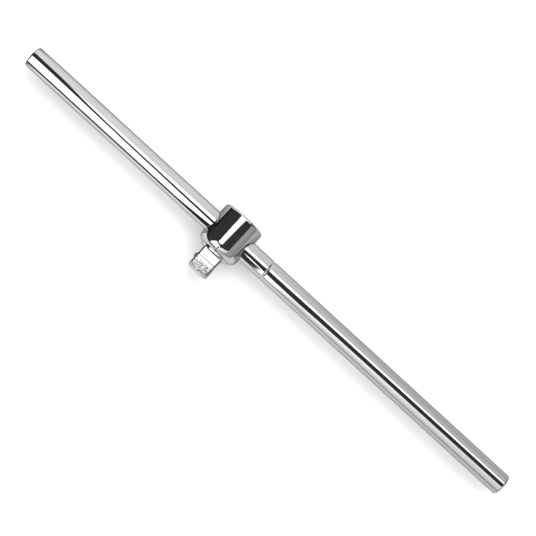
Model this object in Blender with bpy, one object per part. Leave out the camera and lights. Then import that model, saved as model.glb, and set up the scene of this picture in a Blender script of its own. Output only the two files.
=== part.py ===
"""Sliding-head breaker bar, 3/4 inch square drive.

A plain round bar runs through a short barrel-shaped head that carries a male
square.  A sprung ball in the head drops into a ring groove half-way along the
bar, and a second sprung ball in the side of the square holds the socket.

The tool lies on a surface: the bar along X, the square pointing to -Y, the
barrel's side on Z = 0.  The origin is the middle of the bar's length, midway
between the head's crown and the square's tip, on that surface.

Inside the head's own frame Z runs along the square, with the tip at -Z, and
X runs along the bar.
"""

import math

import bmesh
import bpy

MM = 0.001

# Driving dimensions.
SQUARE_SIZE = 19.05 * MM
BAR_DIAMETER = SQUARE_SIZE
BAR_LENGTH = 520.0 * MM
HEAD_DIAMETER = 38.6 * MM
BAR_AXIS_TO_CROWN = 18.8 * MM
BAR_AXIS_TO_FOOT = 18.2 * MM
BAR_AXIS_TO_TIP = 40.2 * MM
HEAD_FROM_BAR_MIDDLE = 42.0 * MM
BALL_DIAMETER = 6.35 * MM
DRILL_DIAMETER = 6.95 * MM
GAP = 0.3 * MM

# Where the two axes lie in the tool's own frame.
HEAD_X = -HEAD_FROM_BAR_MIDDLE
BAR_Y = (BAR_AXIS_TO_TIP - BAR_AXIS_TO_CROWN) / 2
BAR_Z = HEAD_DIAMETER / 2

# The bar.
BAR_RADIUS = BAR_DIAMETER / 2
BAR_END_ROUND = 1.6 * MM
GROOVE_WIDTH = 3.2 * MM
GROOVE_DEPTH = 0.6 * MM

# The head.
HEAD_RADIUS = HEAD_DIAMETER / 2
CROWN_ROUND = 2.0 * MM
FOOT_ROUND = 7.0 * MM
BOSS_HEIGHT = 1.7 * MM
BOSS_RADIUS = 12.9 * MM
BOSS_FLARE = 0.7 * MM
BORE_RADIUS = BAR_RADIUS + GAP
SQUARE_CORNER_RADIUS = 12.6 * MM
TIP_FLAT_RADIUS = 7.9 * MM
TIP_CHAMFER_LENGTH = 2.7 * MM

# The drilled passage from the crown, across the bore and into the square.
DRILL_RADIUS = DRILL_DIAMETER / 2
DRILL_POINT = 0.3 * DRILL_DIAMETER
PASSAGE_FLOOR = -22.0 * MM
THREAD_HOLE_RADIUS = 4.15 * MM
THREAD_FLOOR = 11.3 * MM
THREAD_COUNTERSINK = 0.5 * MM

# The socket ball and its cross hole, half-way along the square.
BALL_RADIUS = BALL_DIAMETER / 2
SOCKET_BALL_HEIGHT = -29.8 * MM
SOCKET_BALL_PROUD = 1.9 * MM
CROSS_HOLE_DEPTH = 12.0 * MM
STAKED_LIP_RADIUS = 3.12 * MM
STAKED_LIP_DEPTH = 0.25 * MM
STAKED_CONE_DEPTH = 0.6 * MM

# The bar's detent ball, which presses on the bar from the square's side.
DETENT_TOUCH = 0.2 * MM
DETENT_BALL_HEIGHT = -(BAR_RADIUS + DETENT_TOUCH + BALL_RADIUS)

# The screw plug that closes the passage in the crown.
PLUG_RADIUS = 3.9 * MM
PLUG_ROOT_RADIUS = 3.5 * MM
PLUG_LENGTH = 6.0 * MM
PLUG_RECESS = 0.6 * MM
PLUG_PITCH = 1.0 * MM
PLUG_HEX_FLATS = 4.0 * MM
PLUG_HEX_DEPTH = 3.0 * MM

# The springs: wire diameter, mean coil radius and number of turns.
DETENT_WIRE = 0.7 * MM
DETENT_COIL_RADIUS = 2.5 * MM
DETENT_TURNS = 4.5
SOCKET_WIRE = 0.6 * MM
SOCKET_COIL_RADIUS = 2.4 * MM
SOCKET_TURNS = 6.0

# Facets round each turned surface.
BARREL_SIDES = 64
BAR_SIDES = 48
HOLE_SIDES = 32
OVERCUT = 1.0 * MM
QUARTER = math.pi / 2

CHROME = ("chrome_plate", (0.80, 0.80, 0.81), 0.06)
BALL_STEEL = ("bearing_steel", (0.62, 0.62, 0.63), 0.12)
SPRING_STEEL = ("spring_steel", (0.42, 0.42, 0.43), 0.35)
BLACK_STEEL = ("blackened_steel", (0.10, 0.10, 0.11), 0.45)


def clear_scene():
    for item in list(bpy.data.objects):
        bpy.data.objects.remove(item, do_unlink=True)


def metal(spec):
    """The steel or plating named in spec, made once and then shared."""
    name, colour, roughness = spec
    found = bpy.data.materials.get(name)
    if found:
        return found
    made = bpy.data.materials.new(name)
    made.use_nodes = True
    shader = made.node_tree.nodes["Principled BSDF"]
    shader.inputs["Base Color"].default_value = (*colour, 1.0)
    shader.inputs["Metallic"].default_value = 1.0
    shader.inputs["Roughness"].default_value = roughness
    return made


def add_object(name, data, spec, parent, location=(0, 0, 0), rotation=(0, 0, 0)):
    made = bpy.data.objects.new(name, data)
    made.data.materials.append(metal(spec))
    made.parent = parent
    made.location = location
    made.rotation_euler = rotation
    bpy.context.scene.collection.objects.link(made)
    return made


def add_frame(name, location, rotation):
    """An empty that carries the pieces of one assembly."""
    made = bpy.data.objects.new(name, None)
    made.location = location
    made.rotation_euler = rotation
    bpy.context.scene.collection.objects.link(made)
    return made


def arc(centre_r, centre_z, radius, start, end, steps):
    """Points on an arc of a turned profile, as (radius, height)."""
    turns = [start + (end - start) * i / steps for i in range(steps + 1)]
    return [
        (centre_r + radius * math.cos(a), centre_z + radius * math.sin(a))
        for a in turns
    ]


def turned(name, profile, sides):
    """A solid of revolution about Z, from a profile that starts and ends on the axis."""
    shape = bmesh.new()
    points = [shape.verts.new((r, 0, z)) for r, z in profile]
    edges = [shape.edges.new(pair) for pair in zip(points, points[1:])]
    bmesh.ops.spin(
        shape,
        geom=points + edges,
        cent=(0, 0, 0),
        axis=(0, 0, 1),
        angle=2 * math.pi,
        steps=sides,
        use_merge=True,
    )
    bmesh.ops.remove_doubles(shape, verts=shape.verts, dist=0.001 * MM)
    bmesh.ops.recalc_face_normals(shape, faces=shape.faces)
    return finished(name, shape)


def finished(name, shape):
    data = bpy.data.meshes.new(name)
    shape.to_mesh(data)
    shape.free()
    data.shade_smooth()
    data.set_sharp_from_angle(angle=math.radians(35))
    return data


def cut_or_join(target, other, operation):
    """Adds a Boolean of other to target, and keeps other as a guide."""
    other.hide_render = True
    other.display_type = "WIRE"
    step = target.modifiers.new(other.name, "BOOLEAN")
    step.operation = operation
    step.solver = "EXACT"
    step.object = other


def bar_profile():
    """Half a section of the bar: rounded ends and the detent groove at its middle."""
    half = BAR_LENGTH / 2
    flat = BAR_RADIUS - BAR_END_ROUND
    shoulder = half - BAR_END_ROUND
    half_groove = GROOVE_WIDTH / 2
    groove_steps = 8
    groove = []
    for i in range(groove_steps + 1):
        z = half_groove - GROOVE_WIDTH * i / groove_steps
        depth = GROOVE_DEPTH * (1 - (z / half_groove) ** 2)
        groove.append((BAR_RADIUS - depth, z))
    top = arc(flat, shoulder, BAR_END_ROUND, QUARTER, 0, 4)
    bottom = arc(flat, -shoulder, BAR_END_ROUND, 0, -QUARTER, 4)
    return [(0, half)] + top + groove + bottom + [(0, -half)]


def add_bar():
    frame = add_frame("bar_axis", (0, BAR_Y, BAR_Z), (0, QUARTER, 0))
    add_object("sliding_bar", turned("sliding_bar", bar_profile(), BAR_SIDES), CHROME, frame)


def barrel_profile():
    """The barrel with its rounded crown and foot, and the low boss under the square."""
    crown = arc(HEAD_RADIUS - CROWN_ROUND, BAR_AXIS_TO_CROWN - CROWN_ROUND, CROWN_ROUND, QUARTER, 0, 5)
    foot = arc(HEAD_RADIUS - FOOT_ROUND, FOOT_ROUND - BAR_AXIS_TO_FOOT, FOOT_ROUND, 0, -QUARTER, 7)
    boss_face = -BAR_AXIS_TO_FOOT - BOSS_HEIGHT
    boss = [(BOSS_RADIUS + BOSS_FLARE, -BAR_AXIS_TO_FOOT), (BOSS_RADIUS, boss_face), (0, boss_face)]
    return [(0, BAR_AXIS_TO_CROWN)] + crown + foot + boss


def square_blank_profile():
    """The turned blank that leaves the square with round corners and a coned tip."""
    tip = -BAR_AXIS_TO_TIP
    root = -BAR_AXIS_TO_FOOT + OVERCUT
    return [
        (0, root),
        (SQUARE_CORNER_RADIUS, root),
        (SQUARE_CORNER_RADIUS, tip + TIP_CHAMFER_LENGTH),
        (TIP_FLAT_RADIUS, tip),
        (0, tip),
    ]


def box(name, size_x, size_y, low_z, high_z):
    shape = bmesh.new()
    bmesh.ops.create_cube(shape, size=1.0)
    middle = (low_z + high_z) / 2
    for point in shape.verts:
        point.co = (point.co.x * size_x, point.co.y * size_y, middle + point.co.z * (high_z - low_z))
    return finished(name, shape)


def passage_profile():
    """The drilled passage: threaded mouth in the crown, drill point at its floor."""
    mouth = BAR_AXIS_TO_CROWN + OVERCUT
    sink = THREAD_COUNTERSINK + OVERCUT
    return [
        (0, mouth),
        (THREAD_HOLE_RADIUS + sink, mouth),
        (THREAD_HOLE_RADIUS, mouth - sink),
        (THREAD_HOLE_RADIUS, THREAD_FLOOR),
        (DRILL_RADIUS, THREAD_FLOOR),
        (DRILL_RADIUS, PASSAGE_FLOOR),
        (0, PASSAGE_FLOOR - DRILL_POINT),
    ]


def cross_hole_profile():
    """The socket ball's hole, with its mouth staked in round the ball."""
    face = SQUARE_SIZE / 2
    floor = face - CROSS_HOLE_DEPTH
    return [
        (0, face + OVERCUT),
        (STAKED_LIP_RADIUS, face + OVERCUT),
        (STAKED_LIP_RADIUS, face - STAKED_LIP_DEPTH),
        (DRILL_RADIUS, face - STAKED_LIP_DEPTH - STAKED_CONE_DEPTH),
        (DRILL_RADIUS, floor),
        (0, floor - DRILL_POINT),
    ]


def bore_profile():
    half = HEAD_RADIUS + OVERCUT
    return [(0, half), (BORE_RADIUS, half), (BORE_RADIUS, -half), (0, -half)]


def add_head_body(frame):
    along_bar = (0, QUARTER, 0)
    towards_ball = (0, -QUARTER, 0)
    square_top = -BAR_AXIS_TO_FOOT + 2 * OVERCUT
    square_bottom = -BAR_AXIS_TO_TIP - OVERCUT

    head = add_object("head_body", turned("head_body", barrel_profile(), BARREL_SIDES), CHROME, frame)
    blank = turned("square_blank", square_blank_profile(), BAR_SIDES)
    square = add_object("square_blank", blank, CHROME, frame)
    flats = box("square_flats", SQUARE_SIZE, SQUARE_SIZE, square_bottom, square_top)
    flats = add_object("square_flats", flats, CHROME, frame)
    bore = turned("bore_cutter", bore_profile(), BAR_SIDES)
    bore = add_object("bore_cutter", bore, CHROME, frame, rotation=along_bar)
    passage = turned("passage_cutter", passage_profile(), HOLE_SIDES)
    passage = add_object("passage_cutter", passage, CHROME, frame)
    cross = turned("cross_hole_cutter", cross_hole_profile(), HOLE_SIDES)
    cross_place = (0, 0, SOCKET_BALL_HEIGHT)
    cross = add_object("cross_hole_cutter", cross, CHROME, frame, cross_place, towards_ball)

    cut_or_join(square, flats, "INTERSECT")
    cut_or_join(head, square, "UNION")
    cut_or_join(head, bore, "DIFFERENCE")
    cut_or_join(head, passage, "DIFFERENCE")
    cut_or_join(head, cross, "DIFFERENCE")


def add_ball(name, frame, location):
    shape = bmesh.new()
    bmesh.ops.create_uvsphere(shape, u_segments=24, v_segments=12, radius=BALL_RADIUS)
    add_object(name, finished(name, shape), BALL_STEEL, frame, location)


def coil_points(radius, turns, wire, length):
    """The wire's centreline: close end turns, and an even rise between them."""
    steps_per_turn = 14
    count = round(turns * steps_per_turn)
    close_pitch = wire * 1.2
    end_turns = 1.0
    rise = length - wire
    open_pitch = (rise - 2 * end_turns * close_pitch) / (turns - 2 * end_turns)
    points = []
    height = 0.0
    for i in range(count + 1):
        turn = turns * i / count
        angle = 2 * math.pi * turn
        points.append((radius * math.cos(angle), radius * math.sin(angle), wire / 2 + height))
        near_end = turn < end_turns or turn >= turns - end_turns
        height += (close_pitch if near_end else open_pitch) / steps_per_turn
    return points


def add_spring(name, frame, start, rotation, radius, turns, wire, length):
    """A compression spring that stands on start and runs along its own Z."""
    data = bpy.data.curves.new(name, "CURVE")
    data.dimensions = "3D"
    data.bevel_depth = wire / 2
    data.bevel_resolution = 2
    data.use_fill_caps = True
    line = data.splines.new("POLY")
    points = coil_points(radius, turns, wire, length)
    line.points.add(len(points) - 1)
    for point, place in zip(line.points, points):
        point.co = (*place, 1.0)
    add_object(name, data, SPRING_STEEL, frame, start, rotation)


def add_detent(frame):
    """The ball that clicks into the bar's groove, and the spring behind it."""
    add_ball("bar_detent_ball", frame, (0, 0, DETENT_BALL_HEIGHT))
    seat = PASSAGE_FLOOR + DETENT_TOUCH
    length = DETENT_BALL_HEIGHT - BALL_RADIUS - DETENT_TOUCH - seat
    add_spring(
        "bar_detent_spring", frame, (0, 0, seat), (0, 0, 0), DETENT_COIL_RADIUS, DETENT_TURNS, DETENT_WIRE, length
    )


def add_socket_catch(frame):
    """The ball in the side of the square that holds the socket, and its spring."""
    ball_x = -SQUARE_SIZE / 2 - SOCKET_BALL_PROUD + BALL_RADIUS
    add_ball("socket_ball", frame, (ball_x, 0, SOCKET_BALL_HEIGHT))
    seat = CROSS_HOLE_DEPTH - SQUARE_SIZE / 2 - DETENT_TOUCH
    length = seat - ball_x - BALL_RADIUS - DETENT_TOUCH
    add_spring(
        "socket_ball_spring",
        frame,
        (seat, 0, SOCKET_BALL_HEIGHT),
        (0, -QUARTER, 0),
        SOCKET_COIL_RADIUS,
        SOCKET_TURNS,
        SOCKET_WIRE,
        length,
    )


def plug_profile():
    """A set screw blank with its thread drawn as rings, one for each pitch."""
    top = BAR_AXIS_TO_CROWN - PLUG_RECESS
    bottom = top - PLUG_LENGTH
    lead = PLUG_RADIUS - PLUG_ROOT_RADIUS
    rings = round((PLUG_LENGTH - 2 * lead) / PLUG_PITCH)
    pitch = (PLUG_LENGTH - 2 * lead) / rings
    profile = [(0, top), (PLUG_ROOT_RADIUS, top)]
    for i in range(rings):
        start = top - lead - i * pitch
        profile.append((PLUG_RADIUS, start))
        profile.append((PLUG_ROOT_RADIUS, start - pitch / 2))
    return profile + [(PLUG_RADIUS, bottom + lead), (PLUG_ROOT_RADIUS, bottom), (0, bottom)]


def add_plug(frame):
    plug = add_object("crown_plug", turned("crown_plug", plug_profile(), HOLE_SIDES), BLACK_STEEL, frame)
    top = BAR_AXIS_TO_CROWN - PLUG_RECESS
    hex_radius = PLUG_HEX_FLATS / 2 / math.cos(math.pi / 6)
    socket = [
        (0, top + OVERCUT),
        (hex_radius, top + OVERCUT),
        (hex_radius, top - PLUG_HEX_DEPTH),
        (0, top - PLUG_HEX_DEPTH - hex_radius / 2),
    ]
    key = add_object("hex_cutter", turned("hex_cutter", socket, 6), BLACK_STEEL, frame)
    cut_or_join(plug, key, "DIFFERENCE")


def add_head():
    frame = add_frame("head_axes", (HEAD_X, BAR_Y, BAR_Z), (-QUARTER, 0, 0))
    add_head_body(frame)
    add_detent(frame)
    add_socket_catch(frame)
    add_plug(frame)


def main():
    clear_scene()
    add_bar()
    add_head()


main()
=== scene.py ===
"""Looks of the sliding-head breaker bar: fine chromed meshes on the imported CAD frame.

Everything is in metres, in the CAD's own frame: +X along the bar, -Y towards the
square's tip, +Z up from the surface that the tool lies on.  Inside the head's local
frame Z runs along the square, with its tip at -Z, and X runs along the bar.
"""

import math

import bmesh
import bpy
from mathutils import Matrix, Vector


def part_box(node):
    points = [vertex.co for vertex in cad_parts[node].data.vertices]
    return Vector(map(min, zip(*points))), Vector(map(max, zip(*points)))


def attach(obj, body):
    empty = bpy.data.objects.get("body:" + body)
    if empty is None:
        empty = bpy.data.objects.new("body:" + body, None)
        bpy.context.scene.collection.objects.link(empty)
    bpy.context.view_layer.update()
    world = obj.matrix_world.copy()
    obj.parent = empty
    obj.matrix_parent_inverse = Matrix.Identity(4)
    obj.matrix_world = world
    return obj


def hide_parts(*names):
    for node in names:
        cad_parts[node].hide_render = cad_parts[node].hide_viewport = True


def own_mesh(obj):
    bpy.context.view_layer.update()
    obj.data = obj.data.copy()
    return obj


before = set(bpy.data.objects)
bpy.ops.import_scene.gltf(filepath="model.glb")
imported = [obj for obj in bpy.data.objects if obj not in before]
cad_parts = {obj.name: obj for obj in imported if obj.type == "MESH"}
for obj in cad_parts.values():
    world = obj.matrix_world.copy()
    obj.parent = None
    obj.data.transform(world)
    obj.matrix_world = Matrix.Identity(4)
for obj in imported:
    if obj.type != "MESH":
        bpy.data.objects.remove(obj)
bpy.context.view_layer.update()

MM = 0.001
TINY = 1e-9
QUARTER = math.pi / 2
HALF_TURN = math.pi

# Places and sizes that the frame gives.
BAR_LOW, BAR_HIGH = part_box("sliding_bar")
HEAD_LOW, HEAD_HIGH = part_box("head_body")
BAR_CENTRE = (BAR_LOW + BAR_HIGH) / 2
BAR_RADIUS = (BAR_HIGH.z - BAR_LOW.z) / 2
BAR_HALF_LENGTH = (BAR_HIGH.x - BAR_LOW.x) / 2
HEAD_ORIGIN = Vector(((HEAD_LOW.x + HEAD_HIGH.x) / 2, BAR_CENTRE.y, (HEAD_LOW.z + HEAD_HIGH.z) / 2))
HEAD_RADIUS = (HEAD_HIGH.x - HEAD_LOW.x) / 2
CROWN = HEAD_HIGH.y - BAR_CENTRE.y
TIP = HEAD_LOW.y - BAR_CENTRE.y
BALL_LOW, BALL_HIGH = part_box("socket_ball")
BALL_RADIUS = (BALL_HIGH.z - BALL_LOW.z) / 2

# The bar.
BAR_SIDES = 256
BAR_RING_SPACING = 20 * MM
BAR_END_ROUND = 1.6 * MM
GROOVE_HALF_WIDTH = 1.3 * MM
GROOVE_DEPTH = 0.75 * MM
GROOVE_EDGE_ROUND = 0.15 * MM
GROOVE_FLOOR_ROUND = 0.9 * MM

# The head's barrel.
FOOT = -18.2 * MM
CROWN_ROUND = 2.0 * MM
FOOT_ROUND = 7.0 * MM
BORE_RADIUS = BAR_RADIUS + 0.3 * MM
MOUTH_ROUND = 0.5 * MM
BOSS_FACE = FOOT - 1.7 * MM
BOSS_RADIUS = 12.9 * MM
BOSS_FLARE = 0.7 * MM
BOSS_EDGE_ROUND = 0.1 * MM

# The male square.
SQUARE_HALF = 9.525 * MM
CORNER_RADIUS = 12.6 * MM
CORNER_SOFTNESS = 0.13 * MM
ROOT_ROUND = 0.8 * MM
LEAST_ROOT_ROUND = 0.01 * MM
TIP_FLAT_RADIUS = 7.9 * MM
TIP_CHAMFER_LENGTH = 2.7 * MM
TIP_EDGE_ROUND = 0.8 * MM
RELIEF_SHARE = 0.4
RELIEF_DEPTH = 0.02 * MM
RELIEF_LENGTH = 0.12 * MM

# Holes in the head.
DRILL_RADIUS = 3.475 * MM
DRILL_POINT = 2.085 * MM
PASSAGE_FLOOR = -22.0 * MM
THREAD_HOLE_RADIUS = 4.15 * MM
THREAD_FLOOR = 11.3 * MM
THREAD_COUNTERSINK = 0.5 * MM
SOCKET_BALL_HEIGHT = (BALL_LOW.y + BALL_HIGH.y) / 2 - BAR_CENTRE.y
CROSS_HOLE_DEPTH = 12.0 * MM
STAKED_LIP_RADIUS = 3.12 * MM
STAKED_LIP_DEPTH = 0.25 * MM
STAKED_CONE_DEPTH = 0.6 * MM
STAKE_RING_RADIUS = 4.1 * MM
STAKE_RING_HALF_WIDTH = 0.3 * MM
STAKE_RING_DEPTH = 0.18 * MM
HOLE_SIDES = 64
OVERCUT = 1.0 * MM

# The plug that closes the crown.
PLUG_RADIUS = 3.9 * MM
PLUG_ROOT_RADIUS = 3.5 * MM
PLUG_FACE_RADIUS = 3.1 * MM
PLUG_PITCH = 1.0 * MM
PLUG_RUN_OUT = 0.5 * MM
PLUG_CREST = 1.15
PLUG_HEX_FLATS = 4.0 * MM
PLUG_HEX_DEPTH = 3.0 * MM
PLUG_HEX_SINK = 0.3 * MM

# The springs.
DETENT_WIRE = 0.7 * MM
DETENT_COIL_RADIUS = 2.5 * MM
DETENT_TURNS = 4.5
SOCKET_WIRE = 0.6 * MM
SOCKET_COIL_RADIUS = 2.4 * MM
SOCKET_TURNS = 6.0


# ---------------------------------------------------------------- mesh tools

MERGE_DISTANCE = 0.0005 * MM
CREASE = math.radians(30)
THREAD_CREASE = math.radians(25)


def skin(rings):
    """A closed mesh through rings of points in order; a ring of one point is a pole."""
    shape = bmesh.new()
    rows = [[shape.verts.new(p) for p in ring] for ring in rings]
    for a, b in zip(rows, rows[1:]):
        count = max(len(a), len(b))
        for i in range(count):
            j = (i + 1) % count
            corners = (a[i % len(a)], a[j % len(a)], b[j % len(b)], b[i % len(b)])
            shape.faces.new(list(dict.fromkeys(corners)))
    return shape


def finished(name, shape, crease=CREASE):
    """Turns a bmesh into an object with smooth faces and sharp creases."""
    bmesh.ops.remove_doubles(shape, verts=shape.verts, dist=MERGE_DISTANCE)
    bmesh.ops.recalc_face_normals(shape, faces=shape.faces)
    data = bpy.data.meshes.new(name)
    shape.to_mesh(data)
    shape.free()
    data.shade_smooth()
    data.set_sharp_from_angle(angle=crease)
    made = bpy.data.objects.new(name, data)
    bpy.context.scene.collection.objects.link(made)
    return made


def rounded_path(corners, steps=8, support=0.06 * MM):
    """A path through (across, along, round) corners, with a true arc and its support points at each."""
    path = []
    last = len(corners) - 1
    for i, (x, y, radius) in enumerate(corners):
        here = Vector((x, y))
        if i in (0, last) or radius == 0:
            path.append(here)
            continue
        back = (Vector(corners[i - 1][:2]) - here).normalized()
        ahead = (Vector(corners[i + 1][:2]) - here).normalized()
        half_angle = back.angle(ahead) / 2
        reach = radius / math.tan(half_angle)
        centre = here + (back + ahead).normalized() * radius / math.sin(half_angle)
        first, final = here + back * reach, here + ahead * reach
        path.append(first + back * support)
        start, turn = first - centre, HALF_TURN - 2 * half_angle
        sign = 1 if start.x * (final - centre).y - start.y * (final - centre).x > 0 else -1
        for k in range(steps + 1):
            a = sign * turn * k / steps
            across = start.x * math.cos(a) - start.y * math.sin(a)
            along = start.x * math.sin(a) + start.y * math.cos(a)
            path.append(centre + Vector((across, along)))
        path.append(final + ahead * support)
    return path


def bend(first, corner, final, t):
    """A point on the curve that leaves first towards the corner and ends at final, for t from 0 to 1."""
    return first * (1 - t) ** 2 + corner * 2 * t * (1 - t) + final * t**2


def turned(path, sides):
    """Rings about Z from a path of (radius, height) points."""
    rings = []
    for radius, height in path:
        if radius < TINY:
            rings.append([(0, 0, height)])
            continue
        turns = [2 * math.pi * i / sides for i in range(sides)]
        rings.append([(radius * math.cos(a), radius * math.sin(a), height) for a in turns])
    return rings


def cut(target, cutter):
    """Cuts the cutter out of the target for good."""
    step = target.modifiers.new("cut", "BOOLEAN")
    step.operation = "DIFFERENCE"
    step.solver = "EXACT"
    step.object = cutter
    bpy.context.view_layer.update()
    graph = bpy.context.evaluated_depsgraph_get()
    result = bpy.data.meshes.new_from_object(target.evaluated_get(graph))
    target.modifiers.clear()
    target.data = result
    bpy.data.objects.remove(cutter, do_unlink=True)


# The head's local frame laid into the world: local Z to +Y, local Y to -Z.
HEAD_PLACE = Matrix.Translation(HEAD_ORIGIN) @ Matrix.Rotation(-QUARTER, 4, "X")
ALONG_BAR = Matrix.Rotation(QUARTER, 4, "Y")
TOWARDS_BALL = Matrix.Rotation(-QUARTER, 4, "Y")


def settle(piece, place, body, node):
    """Bakes the place into the mesh, hands the piece to its body and hides the CAD node that it stands in
    for.
    """
    piece.data.transform(place)
    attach(piece, body)
    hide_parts(node)
    return piece


# ---------------------------------------------------------------- the bar


def make_bar():
    half = BAR_HALF_LENGTH
    groove = GROOVE_HALF_WIDTH
    corners = [
        (0, half, 0),
        (BAR_RADIUS, half, BAR_END_ROUND),
        (BAR_RADIUS, groove, GROOVE_EDGE_ROUND),
        (BAR_RADIUS - GROOVE_DEPTH, 0, GROOVE_FLOOR_ROUND),
        (BAR_RADIUS, -groove, GROOVE_EDGE_ROUND),
        (BAR_RADIUS, -half, BAR_END_ROUND),
        (0, -half, 0),
    ]
    path = []
    for a, b in zip(rounded_path(corners), rounded_path(corners)[1:]):
        path.append(a)
        runs = int((b - a).length // BAR_RING_SPACING)
        path += [a.lerp(b, (i + 1) / (runs + 1)) for i in range(runs)]
    path.append(Vector((0, -half)))
    bar = finished("bar_skin", skin(turned(path, BAR_SIDES)))
    return settle(bar, Matrix.Translation(BAR_CENTRE) @ ALONG_BAR, "bar", "sliding_bar")


# ---------------------------------------------------------------- the head


def head_angles():
    """Angles round the head: closer together where the square's corners are."""
    flat_steps, corner_steps = 20, 14
    turn = math.radians(38)
    octant = [turn * i / flat_steps for i in range(flat_steps)]
    octant += [turn + (math.pi / 4 - turn) * i / corner_steps for i in range(corner_steps)]
    quadrant = octant + [QUARTER - a for a in [math.pi / 4] + octant[:0:-1]]
    return [q * QUARTER + a for q in range(4) for a in quadrant]


ANGLES = head_angles()


def circle(radius, height):
    return [(radius * math.cos(a), radius * math.sin(a), height) for a in ANGLES]


def smooth_lower(a, b, softness):
    """The lower of two lengths, with the corner between them eased."""
    low = min(a, b)
    return low - softness * math.log(math.exp((low - a) / softness) + math.exp((low - b) / softness))


def square_reach(angle):
    """How far the square's outline stands from its axis: four flats, corners turned round."""
    flat = SQUARE_HALF / max(abs(math.cos(angle)), abs(math.sin(angle)))
    return smooth_lower(flat, CORNER_RADIUS, CORNER_SOFTNESS)


def barrel_rings():
    """The barrel's wall with the cross bore through it: one sleeve of rings from +X round to -X."""
    low, high = FOOT + FOOT_ROUND, CROWN - CROWN_ROUND
    side_steps = 28
    front = [a if a <= QUARTER + TINY else a - 2 * math.pi for a in ANGLES]
    front = sorted(a for a in front if abs(a) <= QUARTER + TINY)
    border = [(a, high) for a in front]
    border += [(QUARTER, high + (low - high) * (i + 1) / side_steps) for i in range(side_steps - 1)]
    border += [(a, low) for a in reversed(front)]
    border += [(-QUARTER, low + (high - low) * (i + 1) / side_steps) for i in range(side_steps - 1)]
    outer = BORE_RADIUS + MOUTH_ROUND
    shares = [0, 0.004, 0.02, 0.06, 0.12, 0.2, 0.3, 0.42, 0.55, 0.68, 0.8, 0.9, 0.96, 0.99, 1]
    mouth_steps = 7
    bore_steps = 10
    columns = []
    for angle, height in border:
        turn = math.atan2(height, HEAD_RADIUS * angle)
        mouth_angle = math.asin(outer * math.cos(turn) / HEAD_RADIUS)
        mouth_height = outer * math.sin(turn)
        wall = []
        for share in reversed(shares):
            a = mouth_angle + (angle - mouth_angle) * share
            z = mouth_height + (height - mouth_height) * share
            wall.append(Vector((HEAD_RADIUS * math.cos(a), HEAD_RADIUS * math.sin(a), z)))
        y, z = BORE_RADIUS * math.cos(turn), BORE_RADIUS * math.sin(turn)
        edge = Vector((math.sqrt(HEAD_RADIUS**2 - y**2), y, z))
        inner = edge - Vector((MOUTH_ROUND, 0, 0))
        first = wall[-1]
        wall += [bend(first, edge, inner, k / mouth_steps) for k in range(1, mouth_steps + 1)]
        wall += [Vector((inner.x * (1 - 2 * k / bore_steps), y, z)) for k in range(1, bore_steps // 2)]
        middle = [Vector((0, y, z))]
        mirrored = [Vector((-p.x, p.y, p.z)) for p in reversed(wall)]
        columns.append(wall + middle + mirrored)
    return [list(ring) for ring in zip(*columns)]


def crown_rings():
    corners = [(HEAD_RADIUS, 0, 0), (HEAD_RADIUS, CROWN, CROWN_ROUND), (0, CROWN, 0)]
    path = [p for p in rounded_path(corners, steps=16) if p.y >= CROWN - CROWN_ROUND - TINY]
    shares = [0.85, 0.65, 0.45, 0.3]
    rim = path[-2].x
    path = path[:-1] + [Vector((rim * s, CROWN)) for s in shares]
    return [circle(r, z) for r, z in path] + [[(0, 0, CROWN)]]


def foot_path():
    corners = [
        (HEAD_RADIUS, 0, 0),
        (HEAD_RADIUS, FOOT, FOOT_ROUND),
        (BOSS_RADIUS + BOSS_FLARE, FOOT, 0),
        (BOSS_RADIUS, BOSS_FACE, BOSS_EDGE_ROUND),
        (0, BOSS_FACE, 0),
    ]
    path = rounded_path(corners, steps=18, support=0.02 * MM)
    return [p for p in path[:-1] if p.y <= FOOT + FOOT_ROUND + TINY]


def square_column(angle):
    """One line of the square from its root to the tip's middle, as (reach, height) points."""
    reach = square_reach(angle)
    face_edge = BOSS_RADIUS - 2 * BOSS_EDGE_ROUND
    root = max(min(ROOT_ROUND, face_edge - reach), LEAST_ROOT_ROUND)
    slope = TIP_CHAMFER_LENGTH / (CORNER_RADIUS - TIP_FLAT_RADIUS)
    chamfer = TIP + (reach - TIP_FLAT_RADIUS) * slope
    relief = BOSS_FACE + (TIP - BOSS_FACE) * RELIEF_SHARE
    slim = reach - RELIEF_DEPTH
    points = []
    root_steps = 8
    for k in range(root_steps + 1):
        a = QUARTER * k / root_steps
        points.append((reach + root * (1 - math.sin(a)), BOSS_FACE - root * (1 - math.cos(a))))
    start = BOSS_FACE - root
    points += [(reach, start + (relief - start) * s) for s in (0.03, 0.2, 0.6, 0.95)]
    points += [(reach, relief), (slim, relief - RELIEF_LENGTH)]
    start = relief - RELIEF_LENGTH
    end = chamfer + TIP_EDGE_ROUND
    points += [(slim, start + (end - start) * s) for s in (0.03, 0.3, 0.6, 0.9, 0.99)]
    cone = Vector((TIP_FLAT_RADIUS - reach, TIP - chamfer)).normalized()
    edge = Vector((slim, chamfer))
    above, below = Vector((slim, end)), edge + cone * TIP_EDGE_ROUND
    round_steps = 5
    points += [bend(above, edge, below, k / round_steps) for k in range(round_steps + 1)]
    rim = Vector((TIP_FLAT_RADIUS, TIP))
    before, after = rim - cone * TIP_EDGE_ROUND, rim - Vector((TIP_EDGE_ROUND, 0))
    points += [below.lerp(before, s) for s in (0.03, 0.5, 0.97)]
    points += [bend(before, rim, after, k / round_steps) for k in range(round_steps + 1)]
    points += [after * s + Vector((0, TIP)) * (1 - s) for s in (0.97, 0.7, 0.35)]
    return points


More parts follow.
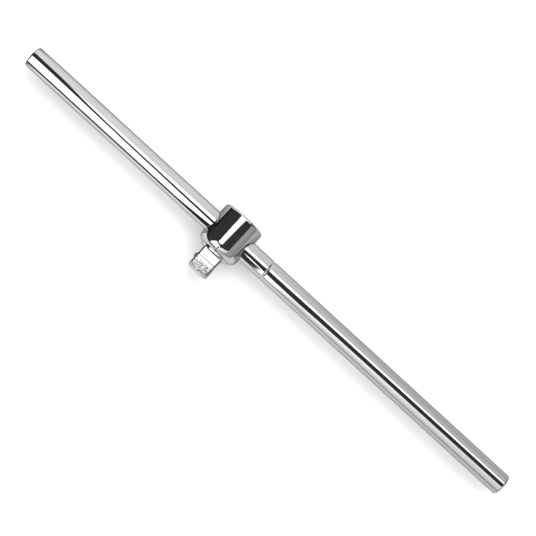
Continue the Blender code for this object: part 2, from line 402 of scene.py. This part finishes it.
def lower_rings():
    """Foot, boss and square, from the barrel's wall down to the tip."""
    rings = [circle(r, z) for r, z in foot_path()]
    columns = [square_column(a) for a in ANGLES]
    for row in zip(*columns):
        rings.append([(r * math.cos(a), r * math.sin(a), z) for (r, z), a in zip(row, ANGLES)])
    return rings + [[(0, 0, TIP)]]


def passage_cutter():
    mouth = CROWN + OVERCUT
    sink = THREAD_COUNTERSINK + OVERCUT
    path = [
        (0, mouth),
        (THREAD_HOLE_RADIUS + sink, mouth),
        (THREAD_HOLE_RADIUS, mouth - sink),
        (THREAD_HOLE_RADIUS, THREAD_FLOOR),
        (DRILL_RADIUS, THREAD_FLOOR),
        (DRILL_RADIUS, PASSAGE_FLOOR),
        (0, PASSAGE_FLOOR - DRILL_POINT),
    ]
    return finished("passage_cutter", skin(turned(path, HOLE_SIDES)))


def cross_hole_cutter():
    """The socket ball's hole with its staked lip, laid towards -X."""
    floor = SQUARE_HALF - CROSS_HOLE_DEPTH
    path = [
        (0, SQUARE_HALF + OVERCUT),
        (STAKED_LIP_RADIUS, SQUARE_HALF + OVERCUT),
        (STAKED_LIP_RADIUS, SQUARE_HALF - STAKED_LIP_DEPTH),
        (DRILL_RADIUS, SQUARE_HALF - STAKED_LIP_DEPTH - STAKED_CONE_DEPTH),
        (DRILL_RADIUS, floor),
        (0, floor - DRILL_POINT),
    ]
    cutter = finished("cross_hole_cutter", skin(turned(path, HOLE_SIDES)))
    cutter.data.transform(Matrix.Translation((0, 0, SOCKET_BALL_HEIGHT)) @ TOWARDS_BALL)
    return cutter


def stake_ring_cutter():
    """The shallow ring left by the punch that closes the lip round the ball."""
    face = SQUARE_HALF - RELIEF_DEPTH
    steps, sides = 16, 96
    rings = []
    for k in range(steps):
        a = 2 * math.pi * k / steps
        radius = STAKE_RING_RADIUS + STAKE_RING_HALF_WIDTH * math.cos(a)
        height = face + STAKE_RING_DEPTH * math.sin(a)
        rings += turned([(radius, height)], sides)
    cutter = finished("stake_ring_cutter", skin(rings + rings[:1]))
    cutter.data.transform(Matrix.Translation((0, 0, SOCKET_BALL_HEIGHT)) @ TOWARDS_BALL)
    return cutter


def make_head():
    shape = bmesh.new()
    for rings in (barrel_rings(), crown_rings(), lower_rings()):
        part = skin(rings)
        piece = bpy.data.meshes.new("part")
        part.to_mesh(piece)
        part.free()
        shape.from_mesh(piece)
        bpy.data.meshes.remove(piece)
    head = finished("head_skin", shape)
    for cutter in (passage_cutter(), cross_hole_cutter(), stake_ring_cutter()):
        cut(head, cutter)
    head.data.set_sharp_from_angle(angle=CREASE)
    return settle(head, HEAD_PLACE, "head", "head_body")


# ---------------------------------------------------------------- balls, springs and plug


def make_ball(name, node, body):
    """A lapped ball, as a cube pushed out to a sphere so that it has no poles."""
    low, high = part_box(node)
    shape = bmesh.new()
    bmesh.ops.create_cube(shape, size=2.0)
    bmesh.ops.subdivide_edges(shape, edges=shape.edges, cuts=15, use_grid_fill=True)
    for point in shape.verts:
        point.co = Vector([math.tan(c * math.pi / 4) for c in point.co]).normalized() * BALL_RADIUS
    return settle(finished(name, shape), Matrix.Translation((low + high) / 2), body, node)


def spring_rings(radius, turns, wire, length):
    """Rings of a coil along +Z with closed ends, ground flat where it stands."""
    steps_per_turn, wire_sides = 48, 14
    count = round(turns * steps_per_turn)
    ground = wire / 4
    close_pitch = wire * 1.05
    end_turns = 1.0
    open_pitch = (length - wire - 2 * end_turns * close_pitch) / (turns - 2 * end_turns)
    rings, height = [], wire / 2
    for i in range(count + 1):
        turn = turns * i / count
        a = 2 * math.pi * turn
        ring = []
        for k in range(wire_sides):
            b = 2 * math.pi * k / wire_sides
            reach = radius + wire / 2 * math.cos(b)
            z = min(max(height + wire / 2 * math.sin(b), ground), length - ground)
            ring.append((reach * math.cos(a), reach * math.sin(a), z))
        rings.append(ring)
        near_end = turn < end_turns or turn >= turns - end_turns
        height += (close_pitch if near_end else open_pitch) / steps_per_turn
    middle = [tuple(sum(c) / wire_sides for c in zip(*ring)) for ring in (rings[0], rings[-1])]
    return [[middle[0]]] + rings + [[middle[1]]]


def make_detent_spring():
    low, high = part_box("bar_detent_spring")
    rings = spring_rings(DETENT_COIL_RADIUS, DETENT_TURNS, DETENT_WIRE, high.y - low.y)
    spring = finished("detent_coil", skin(rings))
    place = HEAD_PLACE @ Matrix.Translation((0, 0, low.y - BAR_CENTRE.y))
    settle(spring, place, "head", "bar_detent_spring")
    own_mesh(spring)
    return spring


def make_socket_spring():
    low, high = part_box("socket_ball_spring")
    rings = spring_rings(SOCKET_COIL_RADIUS, SOCKET_TURNS, SOCKET_WIRE, high.x - low.x)
    spring = finished("socket_coil", skin(rings))
    place = HEAD_PLACE @ Matrix.Translation((high.x - HEAD_ORIGIN.x, 0, SOCKET_BALL_HEIGHT)) @ TOWARDS_BALL
    settle(spring, place, "head", "socket_ball_spring")
    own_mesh(spring)
    return spring


def plug_reach(angle, depth, length):
    """The thread's radius: a V that climbs one pitch each turn and runs out at both ends."""
    phase = (depth / PLUG_PITCH - angle / (2 * math.pi)) % 1.0
    ridge = 1 - abs(2 * phase - 1)
    lead = min(depth, length - depth) / PLUG_RUN_OUT
    thread_depth = PLUG_RADIUS - PLUG_ROOT_RADIUS
    limit = PLUG_ROOT_RADIUS + thread_depth * min(max(lead, 0), 1)
    return min(PLUG_ROOT_RADIUS + thread_depth * min(ridge * PLUG_CREST, 1), limit)


def make_plug():
    low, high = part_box("crown_plug")
    top, bottom = high.y - BAR_CENTRE.y, low.y - BAR_CENTRE.y
    length = top - bottom
    sides, rows = 96, 72
    turns = [2 * math.pi * i / sides for i in range(sides)]
    rings = [[(0, 0, top)]]
    rings.append([(PLUG_FACE_RADIUS * math.cos(a), PLUG_FACE_RADIUS * math.sin(a), top) for a in turns])
    for k in range(rows + 1):
        depth = length * k / rows
        reach = [plug_reach(a, depth, length) for a in turns]
        rings.append([(r * math.cos(a), r * math.sin(a), top - depth) for r, a in zip(reach, turns)])
    rings.append([(0, 0, bottom)])
    plug = finished("plug_skin", skin(rings), THREAD_CREASE)
    hex_radius = PLUG_HEX_FLATS / 2 / math.cos(math.pi / 6)
    key = [
        (0, top + OVERCUT),
        (hex_radius + OVERCUT + PLUG_HEX_SINK, top + OVERCUT),
        (hex_radius, top - PLUG_HEX_SINK),
        (hex_radius, top - PLUG_HEX_DEPTH),
        (0, top - PLUG_HEX_DEPTH - hex_radius / 2),
    ]
    cut(plug, finished("key_cutter", skin(turned(key, 6))))
    plug.data.set_sharp_from_angle(angle=THREAD_CREASE)
    return settle(plug, HEAD_PLACE, "head", "crown_plug")


# ---------------------------------------------------------------- materials

# The bar's end faces, left as turned.
END_FACE_ROUGHNESS = 0.42
TURNING_PITCH = 0.35 * MM
TURNING_DEPTH = 0.008 * MM

# The wear on the square: it starts at a share of the square's length and stops short of the tip.
WEAR_START_SHARE = 0.45
WEAR_FADE = 3.0 * MM
WEAR_STOP = 0.8 * MM
WEAR_ROUGHNESS = 0.25
PIT_DEPTH = 0.02 * MM


class Nodes:
    """Short calls for building a node tree."""

    def __init__(self, tree):
        self.tree = tree
        tree.nodes.clear()

    def add(self, kind, **values):
        node = self.tree.nodes.new(kind)
        for name, value in values.items():
            setattr(node, name, value)
        return node

    def join(self, source, socket):
        """Links a socket, or sets a plain number or vector."""
        if isinstance(source, bpy.types.NodeSocket):
            self.tree.links.new(source, socket)
        else:
            socket.default_value = source

    def maths(self, operation, *values):
        """A sum, product or other operation on numbers."""
        node = self.add("ShaderNodeMath", operation=operation)
        for value, socket in zip(values, node.inputs):
            self.join(value, socket)
        return node.outputs[0]

    def line(self, value, slope, offset):
        """Value times slope, plus offset."""
        return self.maths("MULTIPLY_ADD", value, slope, offset)

    def ease(self, value, low, high, out_low=0.0, out_high=1.0):
        """A smooth step from out_low to out_high as value goes from low to high."""
        node = self.add("ShaderNodeMapRange", interpolation_type="SMOOTHSTEP")
        for item, socket in zip((value, low, high, out_low, out_high), node.inputs):
            self.join(item, socket)
        return node.outputs[0]

    def mix(self, share, a, b):
        """From a to b as share goes from 0 to 1."""
        node = self.add("ShaderNodeMix", data_type="FLOAT")
        for item, socket in zip((share, a, b), (node.inputs[0], node.inputs[2], node.inputs[3])):
            self.join(item, socket)
        return node.outputs[0]

    def split(self, vector):
        node = self.add("ShaderNodeSeparateXYZ")
        self.join(vector, node.inputs[0])
        return node.outputs

    def scaled(self, vector, x, y, z):
        node = self.add("ShaderNodeMapping")
        self.join(vector, node.inputs["Vector"])
        node.inputs["Scale"].default_value = (x, y, z)
        return node.outputs[0]

    def noise(self, vector, scale, detail=3.0, roughness=0.5, distortion=0.0):
        node = self.add("ShaderNodeTexNoise")
        self.join(vector, node.inputs["Vector"])
        node.inputs["Scale"].default_value = scale
        node.inputs["Detail"].default_value = detail
        node.inputs["Roughness"].default_value = roughness
        node.inputs["Distortion"].default_value = distortion
        return node.outputs["Fac"]

    def bump(self, height, depth, below=None):
        """A bump: a height of 1 stands for the depth, in metres."""
        node = self.add("ShaderNodeBump")
        self.join(height, node.inputs["Height"])
        node.inputs["Distance"].default_value = depth
        if below is not None:
            self.join(below, node.inputs["Normal"])
        return node.outputs[0]


def new_metal(name):
    """A material with its Principled shader, object coordinates and node calls."""
    material = bpy.data.materials.new(name)
    material.use_nodes = True
    nodes = Nodes(material.node_tree)
    shader = nodes.add("ShaderNodeBsdfPrincipled")
    output = nodes.add("ShaderNodeOutputMaterial")
    nodes.join(shader.outputs[0], output.inputs["Surface"])
    shader.inputs["Metallic"].default_value = 1.0
    shader.inputs["Specular Tint"].default_value = (0.6, 0.6, 0.6, 1.0)
    place = nodes.add("ShaderNodeTexCoord").outputs["Object"]
    return material, nodes, shader, place


def tint(nodes, shader, share, first, second):
    """Base colour from the first tone to the second as share goes from 0 to 1."""
    ramp = nodes.add("ShaderNodeMix", data_type="RGBA")
    nodes.join(share, ramp.inputs[0])
    ramp.inputs[6].default_value = (*first, 1.0)
    ramp.inputs[7].default_value = (*second, 1.0)
    nodes.join(ramp.outputs[2], shader.inputs["Base Color"])


def bar_chrome():
    """Chrome over a ground bar: fine rings round it, a faint grain, and ends left as turned."""
    material, nodes, shader, place = new_metal("chrome_bar")
    rings = nodes.noise(nodes.scaled(place, 5200, 90, 90), 1.0, detail=2.0)
    grain = nodes.noise(place, 3000, detail=2.0, roughness=0.6)
    cloud = nodes.noise(place, 60, detail=3.0)
    x, y, z = nodes.split(place)
    from_middle = nodes.maths("ABSOLUTE", x)
    end_face = nodes.ease(from_middle, BAR_HALF_LENGTH - 0.2 * MM, BAR_HALF_LENGTH - 0.1 * MM)
    smooth = nodes.ease(cloud, 0.3, 0.7, 0.02, 0.04)
    nodes.join(nodes.mix(end_face, smooth, END_FACE_ROUGHNESS), shader.inputs["Roughness"])
    tint(nodes, shader, cloud, (0.60, 0.60, 0.605), (0.65, 0.65, 0.655))
    across = nodes.maths("POWER", nodes.maths("SUBTRACT", y, BAR_CENTRE.y), 2.0)
    up = nodes.maths("POWER", nodes.maths("SUBTRACT", z, BAR_CENTRE.z), 2.0)
    radius = nodes.maths("SQRT", nodes.maths("ADD", across, up))
    turning = nodes.maths("SINE", nodes.maths("MULTIPLY", radius, 2 * math.pi / TURNING_PITCH))
    marks = nodes.bump(nodes.maths("MULTIPLY", turning, end_face), TURNING_DEPTH)
    fine = nodes.bump(rings, 0.0005 * MM, marks)
    nodes.join(nodes.bump(grain, 0.0006 * MM, fine), shader.inputs["Normal"])
    return material


def head_chrome():
    """Chrome over a forging: polished all over, but for a pitted, worn end to the square."""
    material, nodes, shader, place = new_metal("chrome_head")
    y = nodes.split(place)[1]
    pits = nodes.noise(place, 1050, detail=3.0, roughness=0.6, distortion=0.4)
    grain = nodes.noise(place, 2600, detail=2.0, roughness=0.6)
    cloud = nodes.noise(place, 120, detail=3.0)
    start = BAR_CENTRE.y + BOSS_FACE + (TIP - BOSS_FACE) * WEAR_START_SHARE
    end = BAR_CENTRE.y + TIP
    past_start = nodes.ease(y, start, start - WEAR_FADE)
    short_of_tip = nodes.ease(y, end + WEAR_STOP, end + 2 * WEAR_STOP)
    worn = nodes.maths("MULTIPLY", past_start, short_of_tip)
    patch = nodes.maths("MULTIPLY", worn, nodes.ease(pits, 0.45, 0.51))
    smooth = nodes.ease(cloud, 0.3, 0.7, 0.03, 0.07)
    nodes.join(nodes.mix(patch, smooth, WEAR_ROUGHNESS), shader.inputs["Roughness"])
    tint(nodes, shader, patch, (0.63, 0.63, 0.635), (0.27, 0.27, 0.27))
    fine = nodes.bump(grain, 0.0008 * MM)
    pitted = nodes.bump(nodes.maths("MULTIPLY", pits, worn), PIT_DEPTH, fine)
    nodes.join(pitted, shader.inputs["Normal"])
    return material


def ball_steel():
    """Lapped bearing steel with faint wear."""
    material, nodes, shader, place = new_metal("bearing_steel_lapped")
    wear = nodes.noise(place, 1400, detail=4.0, roughness=0.6)
    nodes.join(nodes.ease(wear, 0.35, 0.75, 0.08, 0.22), shader.inputs["Roughness"])
    tint(nodes, shader, wear, (0.30, 0.30, 0.305), (0.42, 0.42, 0.425))
    nodes.join(nodes.bump(wear, 0.001 * MM), shader.inputs["Normal"])
    return material


def spring_steel():
    """Drawn wire, satin and slightly uneven."""
    material, nodes, shader, place = new_metal("spring_steel_drawn")
    draw = nodes.noise(place, 2200, detail=4.0, roughness=0.7)
    nodes.join(nodes.ease(draw, 0.3, 0.7, 0.26, 0.42), shader.inputs["Roughness"])
    tint(nodes, shader, draw, (0.34, 0.34, 0.35), (0.50, 0.50, 0.50))
    nodes.join(nodes.bump(draw, 0.004 * MM), shader.inputs["Normal"])
    return material


def black_steel():
    """Black oxide, worn a little lighter in blotches."""
    material, nodes, shader, place = new_metal("black_oxide")
    mottle = nodes.noise(place, 1500, detail=5.0, roughness=0.65)
    nodes.join(nodes.ease(mottle, 0.3, 0.7, 0.34, 0.55), shader.inputs["Roughness"])
    tint(nodes, shader, nodes.ease(mottle, 0.55, 0.75), (0.07, 0.07, 0.075), (0.20, 0.20, 0.20))
    nodes.join(nodes.bump(mottle, 0.006 * MM), shader.inputs["Normal"])
    return material


def paint(piece, material):
    piece.data.materials.clear()
    piece.data.materials.append(material)


# ---------------------------------------------------------------- studio

# How bright the parts of the studio look in the chrome.
WHITE = 2.1
GREY_SHORT_SIDE = 1.03
GREY_LONG_SIDE = 0.62
FRONT_GREY_HIGH = 1.45
FRONT_GREY_MIDDLE = 1.0
FRONT_GREY_LOW = 0.84
FAR_GREY = 0.48
HORIZON_GREY = 0.36
DARK = 0.045
BLACK_CARD_LEVEL = 0.01
GREY_CARD_LEVEL = 0.4
TABLE_FRONT_LEVELS = (1.1, 0.8)
TABLE_BACK_LEVELS = (1.08, 0.69)
TABLE_NEAR_BACK_LEVEL = 0.62
# Painted shade: how bright the table looks in the chrome close under the tool, where the tool shades it.
TABLE_SHADE_UNDER_LEVEL = 0.46
TABLE_PAST_END_LEVEL = 0.015

# The light on everything that isn't a mirror, and the backdrop that the camera sees.
AMBIENT = 1.55
BACKDROP = 1.0

# In the rest of this section X is the world's, along the bar, and Y is counted from the bar's axis
# towards the crown's side.  A span is where a value starts to change and where it is done.

# The dark gap in the ceiling over the bar: (X, Y) points of its two edges, and a straight limit to each.
CEILING_HEIGHT = 0.70
CEILING_REACH = 12.0
GAP_FAR_EDGE = [
    (-1.0, 0.6),
    (-0.41, 0.43),
    (-0.35, 0.27),
    (-0.30, 0.09),
    (-0.24, 0.01),
    (-0.08, 0.0),
    (0.0, 0.05),
    (0.12, 0.12),
    (0.41, 0.20),
    (1.0, 0.3),
]
GAP_FAR_LIMIT = {"slope": -0.2, "offset": -0.25}
GAP_NEAR_EDGE = [
    (-1.0, -0.07),
    (-0.38, -0.07),
    (-0.25, -0.20),
    (-0.03, -0.38),
    (0.035, -0.58),
    (0.12, -0.42),
    (0.41, -0.25),
    (0.76, 0.0),
    (1.0, 0.1),
]
GAP_NEAR_LIMIT = {"slope": 1.4, "offset": 0.50}
GAP_BLUR = 0.012

# The field beyond the gap: a white strip, then grey.
STRIP_X_SPAN = (-0.3, 0.4)
STRIP_ENDS = (0.325, 0.40)
STRIP_BLUR = 0.05
GREY_X_SPAN = (-0.5, 0.5)

# The field before the gap: white over the short side, and greys over the long one.
FRONT_WHITE_SPAN = (0.0, 0.08)
FRONT_HIGH_SPAN = (0.05, 0.5)
FRONT_LOW_SPAN = (-1.8, -0.3)

# The dark corridor through the front field, which the bar mirrors as a wedge beside the head.
CORRIDOR_LEFT = {"slope": 0.108, "offset": -0.025}
CORRIDOR_LEFT_BLUR = 0.01
CORRIDOR_RIGHT = {"slope": 0.0070, "offset": -0.004}
CORRIDOR_RIGHT_BLUR = 0.0015
CORRIDOR_SIDE_SPAN = (-0.03, -0.04)
CORRIDOR_SIDE_START = (-0.25, -0.35)
CORRIDOR_START = (-0.53, -0.60)

# Beyond the bar's long end the ceiling fades to the horizon, and its far corner is dark.
FAR_SIDE_SPAN = (0.74, 0.77)
FAR_FADE_SPAN = (0.8, 3.5)
CORNER_SLANT = -0.2
CORNER_SPAN = (0.43, 0.50)
BEHIND_SLANT = -0.3
BEHIND_SPAN = (0.0, 0.1)

# Low upright cards on the tip's side: distance from the axis, and spans along X and up Z.
BLACK_CARD = {"distance": 0.15, "along": (-1.5, -0.06), "up": (0.006, 0.06)}
GREY_CARD = {"distance": 0.5, "along": (-0.02, 1.2), "up": (0.0, 0.11)}

# What lies round the horizon, by the X of the direction looked in.
HORIZON_SPAN = (0.3, 0.6)
BLACK_SIDE_SPAN = (-0.90, -0.85)

# The table.
TABLE_REACH = 30.0
TABLE_COLOUR = (0.9, 0.9, 0.9, 1.0)
TABLE_FRONT_SPAN = (-0.2, 0.2)
TABLE_BACK_SPAN = (-0.03, 0.10)
TABLE_NEAR_BACK_SPAN = (0.03, 0.12)
TABLE_SIDE_SPAN = (-0.01, 0.01)
# Where the painted shade under the tool lies on the table: along X towards the short end, and across Y
# from the axis.
TABLE_SHADE_UNDER_X_SPAN = (-0.19, -0.17)
TABLE_SHADE_UNDER_Y_SPAN = (0.018, 0.024)
PAST_END_X_SPAN = (-0.265, -0.275)
PAST_END_SLANT = 0.25
PAST_END_Y_SPAN = (0.07, 0.03)

# The lamp that lights everything but the chrome.
KEY_SIZE = (1.6, 0.9)
KEY_ENERGY = 11
KEY_PLACE = (0.15, 0.75, 1.4)

# The camera, which looks at a point close to the bar's middle.
CAMERA_DISTANCE = 1.1449
CAMERA_AIM = Vector((-0.0012, 0.00205, 0))
CAMERA_LEAN_TO_TIP = math.radians(6.0)
CAMERA_TURN = math.radians(42.63)
CAMERA_LENS = 94
CAMERA_SENSOR = 36


def glow(nodes, strength):
    """Ends a material in a plain light of the given strength."""
    light = nodes.add("ShaderNodeEmission")
    nodes.join(strength, light.inputs["Strength"])
    output = nodes.add("ShaderNodeOutputMaterial")
    nodes.join(light.outputs[0], output.inputs["Surface"])


def studio_material(name):
    material = bpy.data.materials.new(name)
    material.use_nodes = True
    material.cycles.emission_sampling = "NONE"
    return material, Nodes(material.node_tree)


def reflected_only(card):
    """A card that only shows in the chrome: it lights and shades nothing else."""
    card.visible_camera = False
    card.visible_diffuse = False
    card.visible_shadow = False
    card.visible_transmission = False
    card.visible_volume_scatter = False


def flat_card(name, corners):
    """One flat face through corners given in world coordinates."""
    shape = bmesh.new()
    shape.faces.new([shape.verts.new(corner) for corner in corners])
    data = bpy.data.meshes.new(name)
    shape.to_mesh(data)
    shape.free()
    made = bpy.data.objects.new(name, data)
    bpy.context.scene.collection.objects.link(made)
    return made


def level_card(name, reach, height):
    """A square card, level and centred on the bar."""
    x, y = BAR_CENTRE.x, BAR_CENTRE.y
    signs = ((-1, -1), (1, -1), (1, 1), (-1, 1))
    return flat_card(name, [(x + a * reach, y + b * reach, height) for a, b in signs])


def curve_of(nodes, value, points):
    """A smooth curve through (value, result) points, both between -1 and 1."""
    node = nodes.add("ShaderNodeFloatCurve")
    nodes.join(nodes.line(value, 0.5, 0.5), node.inputs["Value"])
    line = node.mapping.curves[0]
    spots = [((x + 1) / 2, (y + 1) / 2) for x, y in points]
    line.points[0].location = spots[0]
    line.points[-1].location = spots[-1]
    for spot in spots[1:-1]:
        line.points.new(*spot)
    node.mapping.update()
    return nodes.line(node.outputs[0], 2.0, -1.0)


def from_bar_axis(nodes):
    """World X, and how far a point lies from the bar's axis along Y."""
    x, y = nodes.split(nodes.add("ShaderNodeTexCoord").outputs["Object"])[:2]
    return x, nodes.maths("SUBTRACT", y, BAR_CENTRE.y)


def past(nodes, value, edge, blur):
    """0 below the edge and 1 above it, eased over the blur on both sides."""
    return nodes.ease(nodes.maths("SUBTRACT", value, edge), -blur, blur)


def field_beyond_gap(nodes, x, y):
    """How bright the ceiling is past the gap's far edge."""
    far_edge = nodes.maths("MAXIMUM", curve_of(nodes, x, GAP_FAR_EDGE), nodes.line(x, **GAP_FAR_LIMIT))
    strip_end = nodes.ease(x, *STRIP_X_SPAN, *STRIP_ENDS)
    past_strip = past(nodes, y, strip_end, STRIP_BLUR)
    grey = nodes.ease(x, *GREY_X_SPAN, GREY_SHORT_SIDE, GREY_LONG_SIDE)
    return nodes.maths("MULTIPLY", past(nodes, y, far_edge, GAP_BLUR), nodes.mix(past_strip, WHITE, grey))


def dark_corridor(nodes, x, y):
    """1 inside the corridor and 0 outside it."""
    right_of_left = past(nodes, x, nodes.line(y, **CORRIDOR_LEFT), CORRIDOR_LEFT_BLUR)
    left_of_right = past(nodes, nodes.line(y, **CORRIDOR_RIGHT), x, CORRIDOR_RIGHT_BLUR)
    side_start = nodes.ease(y, *CORRIDOR_SIDE_START)
    side = nodes.maths("MULTIPLY", nodes.ease(x, *CORRIDOR_SIDE_SPAN), side_start)
    started = nodes.maths("MAXIMUM", side, nodes.ease(y, *CORRIDOR_START))
    return nodes.maths("MULTIPLY", nodes.maths("MULTIPLY", right_of_left, left_of_right), started)


def field_before_gap(nodes, x, y):
    """How bright the ceiling is short of the gap's near edge."""
    near_edge = nodes.maths("MINIMUM", curve_of(nodes, x, GAP_NEAR_EDGE), nodes.line(x, **GAP_NEAR_LIMIT))
    high = nodes.ease(x, *FRONT_HIGH_SPAN, FRONT_GREY_HIGH, FRONT_GREY_MIDDLE)
    grey = nodes.mix(nodes.ease(y, *FRONT_LOW_SPAN), FRONT_GREY_LOW, high)
    field = nodes.mix(nodes.ease(x, *FRONT_WHITE_SPAN), WHITE, grey)
    field = nodes.mix(dark_corridor(nodes, x, y), field, 0.0)
    return nodes.maths("MULTIPLY", past(nodes, near_edge, y, GAP_BLUR), field)


def make_ceiling():
    """The soft boxes over the table, with the dark gap between them where the camera looks through."""
    ceiling = level_card("ceiling_card", CEILING_REACH, BAR_CENTRE.z + CEILING_HEIGHT)
    material, nodes = studio_material("ceiling_light")
    x, y = from_bar_axis(nodes)
    lit = nodes.maths("ADD", field_beyond_gap(nodes, x, y), field_before_gap(nodes, x, y))
    lit = nodes.maths("ADD", lit, DARK)
    far_side = nodes.ease(x, *FAR_FADE_SPAN, FAR_GREY, HORIZON_GREY)
    lit = nodes.mix(nodes.ease(x, *FAR_SIDE_SPAN), lit, far_side)
    corner = nodes.ease(nodes.line(y, CORNER_SLANT, x), *CORNER_SPAN)
    behind = nodes.ease(nodes.line(x, BEHIND_SLANT, y), *BEHIND_SPAN)
    glow(nodes, nodes.mix(nodes.maths("MULTIPLY", corner, behind), lit, DARK))
    ceiling.data.materials.append(material)
    reflected_only(ceiling)


def make_low_card(name, level, distance, along, up):
    """A low upright card beside the tool, seen in the chrome as a thin line along the bar."""
    y = BAR_CENTRE.y - distance
    left, right = along
    bottom, top = up
    card = flat_card(name, [(left, y, bottom), (right, y, bottom), (right, y, top), (left, y, top)])
    material, nodes = studio_material(name)
    glow(nodes, level)
    card.data.materials.append(material)
    reflected_only(card)


def make_world():
    """Even light all round; the backdrop is pale and plain."""
    world = bpy.data.worlds.new("studio")
    bpy.context.scene.world = world
    world.use_nodes = True
    nodes = Nodes(world.node_tree)
    x = nodes.split(nodes.add("ShaderNodeTexCoord").outputs["Generated"])[0]
    path = nodes.add("ShaderNodeLightPath")
    seen = nodes.mix(nodes.ease(x, *HORIZON_SPAN), GREY_LONG_SIDE, HORIZON_GREY)
    seen = nodes.mix(nodes.ease(x, *BLACK_SIDE_SPAN), 0.0, seen)
    level = nodes.mix(path.outputs["Is Glossy Ray"], AMBIENT, seen)
    level = nodes.mix(path.outputs["Is Camera Ray"], level, BACKDROP)
    light = nodes.add("ShaderNodeBackground")
    nodes.join(level, light.inputs["Strength"])
    output = nodes.add("ShaderNodeOutputWorld")
    nodes.join(light.outputs[0], output.inputs["Surface"])


def table_in_chrome(nodes, x, y):
    """How bright the table looks in the chrome: darkest under the bar's short end and past it, with
    painted shade close under the tool.
    """
    front = nodes.ease(x, *TABLE_FRONT_SPAN, *TABLE_FRONT_LEVELS)
    far_back = nodes.ease(x, *TABLE_BACK_SPAN, *TABLE_BACK_LEVELS)
    back = nodes.mix(nodes.ease(y, *TABLE_NEAR_BACK_SPAN), TABLE_NEAR_BACK_LEVEL, far_back)
    side = nodes.mix(nodes.ease(y, *TABLE_SIDE_SPAN), front, back)
    off_axis = nodes.maths("ABSOLUTE", y)
    # Painted shade under the tool: dark under the bar's short end, lighter under the rest of the tool.
    shade_under = nodes.ease(x, *TABLE_SHADE_UNDER_X_SPAN, DARK, TABLE_SHADE_UNDER_LEVEL)
    seen = nodes.mix(nodes.ease(off_axis, *TABLE_SHADE_UNDER_Y_SPAN), shade_under, side)
    widening = nodes.line(x, PAST_END_SLANT, off_axis)
    beside_end = nodes.ease(widening, *PAST_END_Y_SPAN)
    past_end = nodes.maths("MULTIPLY", nodes.ease(x, *PAST_END_X_SPAN), beside_end)
    return nodes.mix(past_end, seen, TABLE_PAST_END_LEVEL)


def make_table():
    """A white table, which reads greyer in the chrome."""
    table = level_card("floor", TABLE_REACH, 0.0)
    material, nodes = studio_material("white_table")
    light = nodes.add("ShaderNodeEmission")
    nodes.join(table_in_chrome(nodes, *from_bar_axis(nodes)), light.inputs["Strength"])
    shader = nodes.add("ShaderNodeBsdfDiffuse")
    shader.inputs["Color"].default_value = TABLE_COLOUR
    either = nodes.add("ShaderNodeMixShader")
    nodes.join(nodes.add("ShaderNodeLightPath").outputs["Is Glossy Ray"], either.inputs[0])
    nodes.join(shader.outputs[0], either.inputs[1])
    nodes.join(light.outputs[0], either.inputs[2])
    output = nodes.add("ShaderNodeOutputMaterial")
    nodes.join(either.outputs[0], output.inputs["Surface"])
    table.data.materials.append(material)


def make_key():
    """The main light, up on the crown's side, which gives the soft shadow."""
    data = bpy.data.lights.new("key", "AREA")
    data.shape = "RECTANGLE"
    data.size, data.size_y = KEY_SIZE
    data.energy = KEY_ENERGY
    key = bpy.data.objects.new("key", data)
    bpy.context.scene.collection.objects.link(key)
    key.location = KEY_PLACE
    key.rotation_euler = (-key.location).to_track_quat("-Z", "Y").to_euler()
    key.visible_glossy = False
    key.visible_camera = False


def make_camera():
    """Almost straight above, the bar running from top left to bottom right."""
    back = Vector((0, -math.tan(CAMERA_LEAN_TO_TIP), 1)).normalized()
    right = Vector((math.cos(CAMERA_TURN), math.sin(CAMERA_TURN), 0))
    right = (right - back * right.dot(back)).normalized()
    up = back.cross(right)
    data = bpy.data.cameras.new("camera")
    data.lens = CAMERA_LENS
    data.sensor_width = CAMERA_SENSOR
    camera = bpy.data.objects.new("camera", data)
    bpy.context.scene.collection.objects.link(camera)
    rotation = Matrix((right, up, back)).transposed().to_4x4()
    camera.matrix_world = Matrix.Translation(BAR_CENTRE + CAMERA_AIM + back * CAMERA_DISTANCE) @ rotation
    bpy.context.scene.camera = camera


# ---------------------------------------------------------------- the whole scene

paint(make_bar(), bar_chrome())
paint(make_head(), head_chrome())
bearing = ball_steel()
paint(make_ball("detent_ball_skin", "bar_detent_ball", "bar_detent"), bearing)
paint(make_ball("socket_ball_skin", "socket_ball", "socket_catch"), bearing)
wire = spring_steel()
paint(make_detent_spring(), wire)
paint(make_socket_spring(), wire)
paint(make_plug(), black_steel())

make_table()
make_ceiling()
make_low_card("black_card", BLACK_CARD_LEVEL, **BLACK_CARD)
make_low_card("grey_card", GREY_CARD_LEVEL, **GREY_CARD)
make_world()
make_key()
make_camera()
bpy.context.scene.view_settings.view_transform = "Standard"
